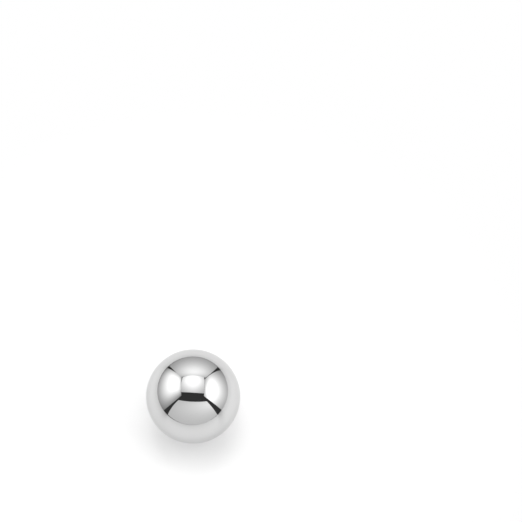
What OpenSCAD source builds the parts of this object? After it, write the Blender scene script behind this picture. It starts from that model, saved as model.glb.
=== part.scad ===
// Polished steel ball: one solid sphere, ground round and lapped to a mirror.
// The origin is the centre of the ball, and +Z points up.

/* [Ball] */
// Diameter of the ball
ball_d = 20; // [1:0.5:100]

/* [Hidden] */

// Colour of bare polished steel
steel = [0.84, 0.83, 0.82];
// Facets round the ball where it is drawn as a mesh
$fn = 96;

// Solid all through, with no flat, seam, hole or parting line.
module ball() {
    color(steel)
        sphere(d = ball_d);
}

ball();
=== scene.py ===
"""The looks of a polished steel ball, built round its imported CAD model.

Blender add-on layout: the ball and its stage are two operators, listed in a panel of the 3D view's sidebar.
Sizes are held in millimetres or metres as each property says, and every mesh is in metres, with the ball's
centre at the origin and +Z up.
"""

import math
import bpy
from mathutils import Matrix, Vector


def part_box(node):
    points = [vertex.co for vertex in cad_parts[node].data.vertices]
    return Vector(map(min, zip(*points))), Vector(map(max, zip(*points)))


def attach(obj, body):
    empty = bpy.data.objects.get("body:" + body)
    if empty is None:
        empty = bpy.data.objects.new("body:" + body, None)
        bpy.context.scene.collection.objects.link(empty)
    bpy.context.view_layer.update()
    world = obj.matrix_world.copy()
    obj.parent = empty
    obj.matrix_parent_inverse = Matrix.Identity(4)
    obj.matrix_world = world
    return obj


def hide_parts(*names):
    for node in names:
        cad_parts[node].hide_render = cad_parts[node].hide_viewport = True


bl_info = {
    "name": "Polished steel ball",
    "version": (1, 0, 0),
    "blender": (4, 5, 0),
    "location": "3D View > Sidebar > Steel ball",
    "description": "A lapped steel ball on a white table, inside a tent of softboxes",
    "category": "Object",
}

from typing import NamedTuple

import bpy
import numpy as np
from mathutils import Vector

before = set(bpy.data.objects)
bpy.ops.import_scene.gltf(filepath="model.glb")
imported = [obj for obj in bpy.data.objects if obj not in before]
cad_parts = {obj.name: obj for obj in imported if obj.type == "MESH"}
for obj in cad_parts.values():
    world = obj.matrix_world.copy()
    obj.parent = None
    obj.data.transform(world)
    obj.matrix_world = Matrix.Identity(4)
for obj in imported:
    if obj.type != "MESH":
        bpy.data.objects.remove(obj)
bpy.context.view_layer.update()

# The ball's centre is the frame's origin, so its top is one radius up.
BALL_NODE = "ball"
BALL_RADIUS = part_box(BALL_NODE)[1].z

MM = 0.001
WHITE = (1.0, 1.0, 1.0, 1.0)


def linear(hex_colour):
    """A written sRGB colour such as #CFCFCF as linear red, green and blue."""
    coded = np.array([int(hex_colour[i : i + 2], 16) for i in (1, 3, 5)]) / 255
    low = coded / 12.92
    high = ((coded + 0.055) / 1.055) ** 2.4
    return tuple(float(c) for c in np.where(coded <= 0.04045, low, high))


def opaque(colour):
    """A colour's red, green and blue with a full alpha, as a colour socket takes it."""
    return tuple(colour) + (1.0,)


# ---------------------------------------------------------------------------------------------------------
# Sizes and colours that a user may change
# ---------------------------------------------------------------------------------------------------------


class BallSettings(bpy.types.PropertyGroup):
    diameter: bpy.props.FloatProperty(
        name="Diameter",
        description="Diameter of the ball",
        default=2 * BALL_RADIUS,
        unit="LENGTH",
    )
    cells: bpy.props.IntProperty(
        name="Cells",
        description="Cells along one edge of each of the six patches that the ball's skin is made of",
        default=96,
        min=8,
        max=128,
    )
    steel: bpy.props.FloatVectorProperty(
        name="Steel",
        description="Colour that bare lapped steel gives to what it mirrors",
        subtype="COLOR",
        size=3,
        min=0,
        max=1,
        default=linear("#CFCFCF"),
    )
    haze: bpy.props.FloatProperty(
        name="Haze",
        description="Roughness of the mirror where it is clearest",
        subtype="FACTOR",
        default=0.01,
        min=0.0,
        max=0.4,
    )
    mark_spacing: bpy.props.FloatProperty(
        name="Lap mark spacing",
        description="Distance from one drawn lap mark to the next",
        default=0.35 * MM,
        unit="LENGTH",
        precision=5,
    )


class StageSettings(bpy.types.PropertyGroup):
    table_radius: bpy.props.FloatProperty(
        name="Table radius",
        description="Radius of the round white table top",
        default=256 * MM,
        unit="LENGTH",
    )
    table: bpy.props.FloatVectorProperty(
        name="Table",
        description="Colour of the table top",
        subtype="COLOR",
        size=3,
        min=0,
        max=1,
        default=linear("#F8F8F8"),
    )
    table_roughness: bpy.props.FloatProperty(
        name="Table roughness",
        description="Roughness of the table's satin surface",
        subtype="FACTOR",
        default=0.25,
        min=0.0,
        max=1.0,
    )
    surround: bpy.props.FloatVectorProperty(
        name="Surround",
        description="Colour of the dim room that shows between the softboxes",
        subtype="COLOR",
        size=3,
        min=0,
        max=1,
        default=linear("#3E3E3E"),
    )
    lamp_level: bpy.props.FloatProperty(
        name="Lamp level",
        description="Brightness of all softboxes together",
        default=1.0,
        min=0.0,
    )
    camera_elevation: bpy.props.FloatProperty(
        name="Camera elevation",
        description="How far above the horizon the camera looks down from",
        default=math.radians(67),
        subtype="ANGLE",
    )
    camera_distance: bpy.props.FloatProperty(
        name="Camera distance",
        description="From the camera to the point that it looks at",
        default=550 * MM,
        unit="LENGTH",
    )
    camera_target: bpy.props.FloatVectorProperty(
        name="Camera target",
        description="The point in the middle of the picture",
        default=(14.38 * MM, 31.18 * MM, 0.0),
        subtype="XYZ",
        unit="LENGTH",
    )
    camera_lens: bpy.props.FloatProperty(
        name="Camera lens",
        description="Focal length in millimetres, on a sensor 36 mm wide",
        default=175.0,
    )


# ---------------------------------------------------------------------------------------------------------
# Surfaces
# ---------------------------------------------------------------------------------------------------------


def new_object(name, points, faces):
    """A mesh object at the origin, unturned and unscaled, with its place in its mesh."""
    mesh = bpy.data.meshes.new(name)
    mesh.from_pydata(points, [], faces.tolist())
    mesh.update()
    made = bpy.data.objects.new(name, mesh)
    bpy.context.scene.collection.objects.link(made)
    return made


def grid_quads(cells):
    """The faces of a square grid whose points are numbered row by row, each as its four points."""
    corner = np.arange((cells + 1) ** 2).reshape(cells + 1, cells + 1)
    quad = np.stack([corner[:-1, :-1], corner[1:, :-1], corner[1:, 1:], corner[:-1, 1:]], axis=-1)
    return quad.reshape(-1, 4)


def cube_sphere(radius, cells):
    """Points and outward faces of a closed sphere without poles.

    Each of a cube's six sides is a grid of two parameters, p and q, that run in equal angles from -45 to
    +45 degrees. A grid point stands at (1, tan p, tan q) in its side's own axes, and is pushed out to the
    sphere along its radius: point = radius * v / |v|. Points of neighbouring sides that fall together on
    the cube's edges are one point, found by their whole-number places on the cube.
    """
    steps = np.arange(cells + 1)
    p, q = np.meshgrid(steps, steps, indexing="ij")
    quad = grid_quads(cells)
    places, quads = [], []
    for axis in range(3):
        for side in (0, cells):
            place = np.empty(p.shape + (3,), int)
            place[..., axis] = side
            place[..., (axis + 1) % 3] = p
            place[..., (axis + 2) % 3] = q
            quads.append((quad if side else quad[:, ::-1]) + len(places) * p.size)
            places.append(place.reshape(-1, 3))
    place, which = np.unique(np.concatenate(places), axis=0, return_inverse=True)
    spread = np.tan(np.radians(90 * place / cells - 45))
    points = radius * spread / np.linalg.norm(spread, axis=1, keepdims=True)
    return points, which.reshape(-1)[np.concatenate(quads)]


def bowed_sheet(corners, bows, cells):
    """Points and faces of a flat sheet of cloth between four corners, with bowed edges.

    It is a grid of two parameters, s and t, from 0 to 1. With a, b, c and d the corners in order, a point
    starts at (1 - t) * (a + s * (b - a)) + t * (d + s * (c - d)). The edges bow as parabolas: the point
    moves along b - a by 4 * t * (1 - t) times the bow at s, which runs from the first bow on the edge a d
    to the second one on b c, and square to that by 4 * s * (1 - s) times the bow at t, which runs from the
    third bow on a b to the fourth one on d c.
    """
    a, b, c, d = (np.array(corner, float) for corner in corners)
    s, t = np.meshgrid(*[np.linspace(0, 1, cells + 1)] * 2, indexing="ij")
    s, t = s.reshape(-1, 1), t.reshape(-1, 1)
    points = (1 - t) * (a + s * (b - a)) + t * (d + s * (c - d))
    along = (b - a) / np.linalg.norm(b - a)
    across = (d - a) - np.dot(d - a, along) * along
    across /= np.linalg.norm(across)
    points += along * 4 * t * (1 - t) * ((1 - s) * bows[0] + s * bows[1])
    points += across * 4 * s * (1 - s) * ((1 - t) * bows[2] + t * bows[3])
    return points, grid_quads(cells)


def flat_ring(inner, outer, height, rings, turns):
    """Points and upward faces of a flat ring between two circles, each given as centre x, centre y, radius.

    It is a grid of two parameters, the share r of the way from the inner circle to the outer one and the
    turn a. The point at (r, a) is (1 - r) * inner(a) + r * outer(a), where a circle's own point at the
    turn a is (x + radius * cos a, y + radius * sin a, height).
    """
    share, turn = np.linspace(0, 1, rings + 1), np.linspace(0, 2 * np.pi, turns, endpoint=False)
    r, a = np.meshgrid(share, turn, indexing="ij")
    x, y, radius = ((1 - r) * near + r * far for near, far in zip(inner, outer))
    points = np.stack([x + radius * np.cos(a), y + radius * np.sin(a), np.full(r.shape, height)], axis=-1)
    point = np.arange(r.size).reshape(r.shape)
    after = np.roll(point, -1, axis=1)
    bands = np.stack([point[:-1], point[1:], after[1:], after[:-1]], axis=-1)
    return points.reshape(-1, 3), bands.reshape(-1, 4)


# ---------------------------------------------------------------------------------------------------------
# Materials
# ---------------------------------------------------------------------------------------------------------


def add_node(tree, kind, settings=None, links=None):
    """Adds a node of that kind, sets its properties and sockets by name or number, and links its inputs."""
    node = tree.nodes.new(kind)
    for name, value in (settings or {}).items():
        if isinstance(name, str) and hasattr(node, name):
            setattr(node, name, value)
        else:
            node.inputs[name].default_value = value
    for name, source in (links or {}).items():
        tree.links.new(source, node.inputs[name])
    return node


def empty_material(name):
    """A new material with only its output node, and that node."""
    material = bpy.data.materials.new(name)
    material.use_nodes = True
    material.node_tree.nodes.clear()
    return material, add_node(material.node_tree, "ShaderNodeOutputMaterial")


# Steel brightens towards its rim less than the shader's own curve: at 82 degrees it keeps 0.88 of that.
EDGE_TINT = (0.88, 0.88, 0.88, 1.0)
# Haze comes in soft patches of about this width. The haziest is rougher by the rise, and mirrors the share
# of the light that is given, because haze scatters a trace of it.
HAZE_PATCH = 2.5 * MM
HAZE_RISE = 0.03
HAZED_SHARE = 0.985
# Real lap marks stand some 0.02 mm apart, too fine to show, so they are drawn coarser, as the spacing says.
# Each of the two sets runs round its own axis. The wave node's bands stand pi / 10 of its length apart.
LAP_MARK_TURNS = ((0.0, 0.0, 0.0), (math.radians(63), math.radians(24), 0.0))
LAP_MARK_WEIGHT = 0.3
WAVE_PERIOD = math.pi / 10
# The steel is clearest where haze and marks together come to the first number or less, and haziest where
# they come to the second or more.
BLEMISH_RANGE = (0.3, 0.9)
# Handling leaves hairlines a few microns wide. They are the highest crests of a noise that is drawn out to
# long streaks, about 0.04 mm wide there, because a true hairline is too fine to show.
HAIRLINE_TURNS = ((0.3, 0.5, 0.2), (1.1, -0.4, 1.5))
STREAK_LENGTH = 24 * MM
STREAK_WIDTH = 0.16 * MM
CREST_RANGE = (0.74, 0.82)
HAIRLINE_RISE = 0.08


def lapped_bearing_steel(settings):
    """Through-hardened bearing steel, ground round and then lapped between plates to a mirror.

    Lapping leaves a metal mirror with no colour of its own, broken only by a faint haze, by shallow circular
    marks from the turning plates and by a few hairlines from handling. All of them lie in the roughness
    alone: they are under a micron deep, and a bump that could be seen would bend what the mirror shows.
    """
    material, output = empty_material("lapped_bearing_steel")
    tree = material.node_tree
    place = add_node(tree, "ShaderNodeTexCoord").outputs["Object"]

    haze = add_node(
        tree,
        "ShaderNodeTexNoise",
        {"Scale": 1 / HAZE_PATCH, "Detail": 3.0, "Roughness": 0.55},
        {"Vector": place},
    )
    marks = []
    for turn in LAP_MARK_TURNS:
        axes = add_node(tree, "ShaderNodeMapping", {"Rotation": turn}, {"Vector": place})
        marks.append(
            add_node(
                tree,
                "ShaderNodeTexWave",
                {
                    "wave_type": "BANDS",
                    "bands_direction": "Z",
                    "Scale": WAVE_PERIOD / settings.mark_spacing,
                    "Distortion": 2.0,
                    "Detail": 2.0,
                    "Detail Scale": 1.5,
                },
                {"Vector": axes.outputs["Vector"]},
            ).outputs["Fac"]
        )
    both = add_node(tree, "ShaderNodeMath", {"operation": "MULTIPLY"}, {0: marks[0], 1: marks[1]})
    blemish = add_node(
        tree,
        "ShaderNodeMath",
        {"operation": "MULTIPLY_ADD", 1: LAP_MARK_WEIGHT},
        {0: both.outputs[0], 2: haze.outputs["Fac"]},
    )
    lapped = add_node(
        tree,
        "ShaderNodeMapRange",
        {
            "From Min": BLEMISH_RANGE[0],
            "From Max": BLEMISH_RANGE[1],
            "To Min": settings.haze,
            "To Max": settings.haze + HAZE_RISE,
        },
        {"Value": blemish.outputs[0]},
    )

    roughness = lapped.outputs["Result"]
    for turn in HAIRLINE_TURNS:
        axes = add_node(
            tree,
            "ShaderNodeMapping",
            {"vector_type": "TEXTURE", "Rotation": turn, "Scale": (STREAK_LENGTH / STREAK_WIDTH, 1.0, 1.0)},
            {"Vector": place},
        )
        streaks = add_node(
            tree,
            "ShaderNodeTexNoise",
            {"Scale": 1 / STREAK_WIDTH, "Detail": 0.0},
            {"Vector": axes.outputs["Vector"]},
        )
        hairlines = add_node(
            tree,
            "ShaderNodeMapRange",
            {
                "From Min": CREST_RANGE[0],
                "From Max": CREST_RANGE[1],
                "To Min": 0.0,
                "To Max": HAIRLINE_RISE,
            },
            {"Value": streaks.outputs["Fac"]},
        )
        added = add_node(
            tree, "ShaderNodeMath", {"operation": "ADD"}, {0: roughness, 1: hairlines.outputs["Result"]}
        )
        roughness = added.outputs[0]

    # The colour sockets of a Mix node are its inputs 6 and 7 and its output 2.
    clear = opaque(settings.steel)
    hazed = opaque(HAZED_SHARE * c for c in settings.steel)
    colour = add_node(
        tree,
        "ShaderNodeMix",
        {"data_type": "RGBA", 6: clear, 7: hazed},
        {0: blemish.outputs[0]},
    )
    steel = add_node(
        tree,
        "ShaderNodeBsdfPrincipled",
        {"Metallic": 1.0, "Specular Tint": EDGE_TINT},
        {"Base Color": colour.outputs[2], "Roughness": roughness},
    )
    tree.links.new(steel.outputs["BSDF"], output.inputs["Surface"])
    return material


def seen_ray(tree):
    """1 for a ray from the camera, from a mirror or through glass, and 0 for light on a dull surface."""
    ray = add_node(tree, "ShaderNodeLightPath")
    seen = ray.outputs["Is Camera Ray"]
    for other in ("Is Glossy Ray", "Is Transmission Ray"):
        either = add_node(
            tree, "ShaderNodeMath", {"operation": "MAXIMUM"}, {0: seen, 1: ray.outputs[other]}
        )
        seen = either.outputs[0]
    return seen


# Light that the table adds to what it scatters, so that it stands as white as the background round it.
TABLE_LIFT = 0.105
# The plate that the camera sees turns clear from here out to its rim.
FADE_START = 28 * MM
PLATE_RADIUS = 75 * MM


def white_table(settings, part, fades):
    """White acrylic sheet, cast and polished to a satin. It takes the ball's soft shadow, and seen along
    its surface it mirrors the softboxes' feet and the dark corners between them. A part that fades turns
    clear towards the plate's rim."""
    material, output = empty_material("satin_white_acrylic_" + part)
    tree = material.node_tree
    lift = add_node(
        tree, "ShaderNodeMath", {"operation": "MULTIPLY", 1: TABLE_LIFT}, {0: seen_ray(tree)}
    )
    acrylic = add_node(
        tree,
        "ShaderNodeBsdfPrincipled",
        {
            "Base Color": opaque(settings.table),
            "Roughness": settings.table_roughness,
            "IOR": 1.49,
            "Emission Color": WHITE,
        },
        {"Emission Strength": lift.outputs[0]},
    )
    surface = acrylic
    if fades:
        place = add_node(tree, "ShaderNodeTexCoord").outputs["Object"]
        contact = (0.0, 0.0, -BALL_RADIUS)
        from_ball = add_node(
            tree, "ShaderNodeVectorMath", {"operation": "DISTANCE", 1: contact}, {0: place}
        )
        fade = add_node(
            tree,
            "ShaderNodeMapRange",
            {"interpolation_type": "SMOOTHSTEP", "From Min": FADE_START, "From Max": PLATE_RADIUS},
            {"Value": from_ball.outputs["Value"]},
        )
        clear = add_node(tree, "ShaderNodeBsdfTransparent")
        surface = add_node(
            tree,
            "ShaderNodeMixShader",
            None,
            {0: fade.outputs["Result"], 1: acrylic.outputs[0], 2: clear.outputs[0]},
        )
    tree.links.new(surface.outputs[0], output.inputs["Surface"])
    return material


def lit_cloth(sheet, level):
    """Diffuser cloth with one lamp behind it.

    Cloth straight in front of the lamp is brightest. Away from there, with x, y and z the shares of the
    glow's reach and n its squareness, the lamp's light has fallen to 1 / (1 + |x|^n + |y|^n + |z|^n) ^ 2, and
    what is left everywhere is the light that goes round inside the box.
    """
    material, output = empty_material("diffuser_cloth_" + sheet.name)
    tree = material.node_tree
    place = add_node(tree, "ShaderNodeTexCoord").outputs["Object"]
    from_lamp = add_node(
        tree,
        "ShaderNodeVectorMath",
        {"operation": "SUBTRACT", 1: tuple(MM * c for c in sheet.lamp)},
        {0: place},
    )
    in_reach = add_node(
        tree,
        "ShaderNodeVectorMath",
        {"operation": "DIVIDE", 1: tuple(MM * c for c in sheet.reach)},
        {0: from_lamp.outputs["Vector"]},
    )
    unsigned = add_node(
        tree, "ShaderNodeVectorMath", {"operation": "ABSOLUTE"}, {0: in_reach.outputs["Vector"]}
    )
    raised = add_node(
        tree,
        "ShaderNodeVectorMath",
        {"operation": "POWER", 1: (sheet.squareness,) * 3},
        {0: unsigned.outputs["Vector"]},
    )
    summed = add_node(
        tree,
        "ShaderNodeVectorMath",
        {"operation": "DOT_PRODUCT", 1: (1.0, 1.0, 1.0)},
        {0: raised.outputs["Vector"]},
    )
    one_more = add_node(tree, "ShaderNodeMath", {"operation": "ADD", 1: 1.0}, {0: summed.outputs["Value"]})
    falloff = add_node(
        tree,
        "ShaderNodeMath",
        {"operation": "POWER", 1: -2.0},
        {0: one_more.outputs[0]},
    )
    strength = add_node(
        tree,
        "ShaderNodeMath",
        {"operation": "MULTIPLY_ADD", 1: level * sheet.lamp_glow, 2: level * sheet.even_glow},
        {0: falloff.outputs[0]},
    )
    glow = add_node(
        tree,
        "ShaderNodeEmission",
        {"Color": WHITE},
        {"Strength": strength.outputs[0]},
    )
    tree.links.new(glow.outputs[0], output.inputs["Surface"])
    return material


def charcoal_cloth(settings):
    """Charcoal cloth hung round the room, far enough from the lamps to be one even dark tone."""
    material, output = empty_material("charcoal_cloth")
    glow = add_node(
        material.node_tree,
        "ShaderNodeEmission",
        {"Color": opaque(settings.surround), "Strength": 1.0},
    )
    material.node_tree.links.new(glow.outputs[0], output.inputs["Surface"])
    return material


# ---------------------------------------------------------------------------------------------------------
# The ball
# ---------------------------------------------------------------------------------------------------------


class STEELBALL_OT_ball(bpy.types.Operator):
    """Makes the lapped steel ball in the place of its CAD solid"""

    bl_idname = "steelball.ball"
    bl_label = "Steel ball"

    def execute(self, context):
        settings = context.scene.steel_ball
        points, faces = cube_sphere(settings.diameter / 2, settings.cells)
        ball = new_object("lapped_ball", points, faces)
        # A mirror shows the least error in a surface's slope, so each point gets the true slope of the
        # sphere there, which is the direction of its radius.
        ball.data.shade_smooth()
        slopes = points / np.linalg.norm(points, axis=1, keepdims=True)
        ball.data.normals_split_custom_set_from_vertices(slopes)
        ball.data.materials.append(lapped_bearing_steel(settings))
        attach(ball, "root")
        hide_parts(BALL_NODE)
        return {"FINISHED"}


# ---------------------------------------------------------------------------------------------------------
# The stage
# ---------------------------------------------------------------------------------------------------------


class Sheet(NamedTuple):
    """One softbox's front cloth, with its places in millimetres from the ball's centre."""

    name: str
    corners: tuple
    bows: tuple
    lamp: tuple
    reach: tuple
    even_glow: float
    lamp_glow: float
    squareness: float


# Four softboxes stand on the table round the ball and one hangs over them. The gap between the front one
# and the one overhead is where the camera looks in. These places are in millimetres too.
TENT_TOP, TENT_FOOT = 450, -10
LEFT, RIGHT, BACK, FRONT = -240, 240, 275, -225
SHEETS = (
    Sheet(
        "overhead",
        ((-232, -69, TENT_TOP), (246, -97, TENT_TOP), (247, 293, TENT_TOP), (-208, 266, TENT_TOP)),
        bows=(-9, -8, -4, 8),
        lamp=(6, 167, TENT_TOP),
        reach=(339, 330, 330),
        even_glow=0.29,
        lamp_glow=1.91,
        squareness=1.8,
    ),
    Sheet(
        "left",
        ((LEFT, -118, TENT_FOOT), (LEFT, 278, TENT_FOOT), (LEFT, 289, 464), (LEFT, -141, 450)),
        bows=(-16, -7, 0, 8),
        lamp=(LEFT, 95, 258),
        reach=(215, 215, 261),
        even_glow=0.11,
        lamp_glow=1.87,
        squareness=3.3,
    ),
    Sheet(
        "right",
        ((RIGHT, -118, TENT_FOOT), (RIGHT, 249, TENT_FOOT), (RIGHT, 204, 454), (RIGHT, -148, 436)),
        bows=(-9, 11, 0, -1),
        lamp=(RIGHT, -1, 242),
        reach=(301, 301, 249),
        even_glow=0.00,
        lamp_glow=2.88,
        squareness=1.7,
    ),
    Sheet(
        "back",
        ((-204, BACK, TENT_FOOT), (211, BACK, -7), (283, BACK, 454), (-271, BACK, 453)),
        bows=(0, 13, 0, -9),
        lamp=(20, BACK, 301),
        reach=(379, 298, 298),
        even_glow=0.28,
        lamp_glow=1.22,
        squareness=2.1,
    ),
    Sheet(
        "front",
        ((-297, FRONT, -7), (286, FRONT, TENT_FOOT), (277, FRONT, 342), (-303, FRONT, 393)),
        bows=(-8, 1, 0, -14),
        lamp=(402, FRONT, 236),
        reach=(647, 210, 210),
        even_glow=0.71,
        lamp_glow=0.58,
        squareness=2.4,
    ),
)
CLOTH_CELLS = 16
ROOM_RADIUS = 1200 * MM
ROOM_CELLS = 8
# The whole table top lies a hair under the plate that the camera sees, and reaches out past the softboxes.
HAIR = 0.02 * MM
TABLE_MIDDLE = (26 * MM, -2 * MM)
TABLE_RINGS, TABLE_TURNS = 12, 96


def add_table(settings):
    """The white table, made twice. The camera sees only a round plate under the ball, which fades into the
    white background, and the light and the steel see only the whole table top."""
    # A circle is its centre's x and y and its radius, so the inner one is the point under the ball.
    contact = (0.0, 0.0, 0.0)
    rim = (0.0, 0.0, PLATE_RADIUS)
    points, faces = flat_ring(contact, rim, -BALL_RADIUS, TABLE_RINGS, TABLE_TURNS)
    plate = new_object("table_plate", points, faces)
    plate.data.materials.append(white_table(settings, "plate", fades=True))
    plate.visible_diffuse = False
    plate.visible_glossy = False
    plate.visible_transmission = False
    plate.visible_shadow = False

    rim = (*TABLE_MIDDLE, settings.table_radius)
    points, faces = flat_ring(contact, rim, -BALL_RADIUS - HAIR, TABLE_RINGS, TABLE_TURNS)
    top = new_object("table_top", points, faces)
    top.data.materials.append(white_table(settings, "top", fades=False))
    top.visible_camera = False


def add_softboxes(settings):
    """The softboxes' front cloths. They light the scene and show in the steel, and the camera looks past
    them."""
    for sheet in SHEETS:
        points, faces = bowed_sheet(sheet.corners, sheet.bows, CLOTH_CELLS)
        cloth = new_object("softbox_" + sheet.name, MM * points, faces)
        cloth.data.materials.append(lit_cloth(sheet, settings.lamp_level))
        cloth.visible_camera = False


def add_room(settings):
    """The dim room behind the softboxes. It shows dark in the steel, and the camera looks past it."""
    room = new_object("dim_room", *cube_sphere(ROOM_RADIUS, ROOM_CELLS))
    room.data.materials.append(charcoal_cloth(settings))
    room.visible_camera = False


def add_white_world():
    """A white background for what the camera, metal or glass sees past everything, and no light from it."""
    world = bpy.data.worlds.new("white_background")
    world.use_nodes = True
    tree = world.node_tree
    tree.nodes.clear()
    white = add_node(tree, "ShaderNodeBackground", {"Color": WHITE}, {"Strength": seen_ray(tree)})
    add_node(tree, "ShaderNodeOutputWorld", None, {"Surface": white.outputs[0]})
    bpy.context.scene.world = world


def add_camera(settings):
    """A long lens that looks down on the ball."""
    camera = bpy.data.cameras.new("camera")
    camera.sensor_width = 36.0
    camera.lens = settings.camera_lens
    made = bpy.data.objects.new("camera", camera)
    target = Vector(settings.camera_target)
    e = settings.camera_elevation
    back = Vector((0.0, -math.cos(e), math.sin(e)))
    made.location = target + settings.camera_distance * back
    made.rotation_euler = (-back).to_track_quat("-Z", "Y").to_euler()
    bpy.context.scene.collection.objects.link(made)
    bpy.context.scene.camera = made


class STEELBALL_OT_stage(bpy.types.Operator):
    """Makes the white table, the softboxes, the dim room behind them, the white background and the camera"""

    bl_idname = "steelball.stage"
    bl_label = "Table, lights and camera"

    def execute(self, context):
        settings = context.scene.steel_ball_stage
        add_table(settings)
        add_softboxes(settings)
        add_room(settings)
        add_white_world()
        add_camera(settings)
        context.scene.view_settings.view_transform = "Standard"
        return {"FINISHED"}


class STEELBALL_PT_panel(bpy.types.Panel):
    """Sizes and colours of the ball and its stage, and the buttons that make them"""

    bl_idname = "STEELBALL_PT_panel"
    bl_label = "Steel ball"
    bl_space_type = "VIEW_3D"
    bl_region_type = "UI"
    bl_category = "Steel ball"

    def draw(self, context):
        for settings, operator in (
            (context.scene.steel_ball, STEELBALL_OT_ball),
            (context.scene.steel_ball_stage, STEELBALL_OT_stage),
        ):
            box = self.layout.box()
            for name in settings.__annotations__:
                box.prop(settings, name)
            box.operator(operator.bl_idname)


CLASSES = (BallSettings, StageSettings, STEELBALL_OT_ball, STEELBALL_OT_stage, STEELBALL_PT_panel)


def register():
    for each in CLASSES:
        bpy.utils.register_class(each)
    bpy.types.Scene.steel_ball = bpy.props.PointerProperty(type=BallSettings)
    bpy.types.Scene.steel_ball_stage = bpy.props.PointerProperty(type=StageSettings)


def unregister():
    del bpy.types.Scene.steel_ball_stage
    del bpy.types.Scene.steel_ball
    for each in reversed(CLASSES):
        bpy.utils.unregister_class(each)


def main():
    """Makes everything in order."""
    register()
    bpy.ops.steelball.ball()
    bpy.ops.steelball.stage()


if __name__ == "__main__":
    main()
